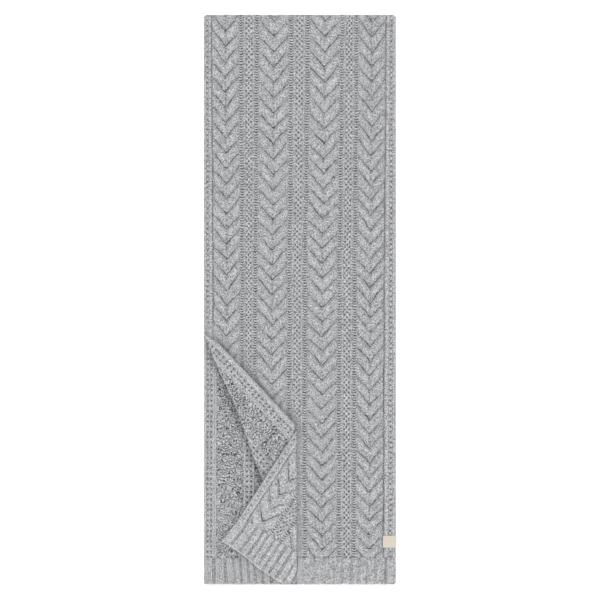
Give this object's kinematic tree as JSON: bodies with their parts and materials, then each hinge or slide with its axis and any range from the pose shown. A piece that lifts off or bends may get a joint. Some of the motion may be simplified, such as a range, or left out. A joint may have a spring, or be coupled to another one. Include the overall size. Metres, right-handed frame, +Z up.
{
  "type": "knit scarf",
  "caption": "Chunky cable-knit scarf folded in half and laid flat, with ribbed ends and one corner of the upper layer turned over and back.",
  "frame": {"origin": "the middle of the folded scarf, on the surface that it lies on", "axes": "+X across the scarf to the right, +Y along it towards the fold, +Z up from the surface"},
  "size_m": [0.3011, 0.89, 0.0212],
  "materials": {
    "knit_face": "soft light grey melange yarn, knitted in cables and moss stitch, matt and slightly fuzzy",
    "knit_reverse": "the same yarn on its rough reverse side",
    "knit_rib": "the same yarn in a flat rib",
    "woven_label": "cream woven tape, bare"
  },
  "bodies": {
    "root": {"back_panel": "knit_reverse", "back_rib_hem": "knit_rib", "front_panel": "knit_face", "front_rib_hem": "knit_rib", "turned_flap": "knit_reverse", "turned_corner": "knit_face", "corner_rib_hem": "knit_rib", "label": "woven_label"}
  },
  "joints": []
}
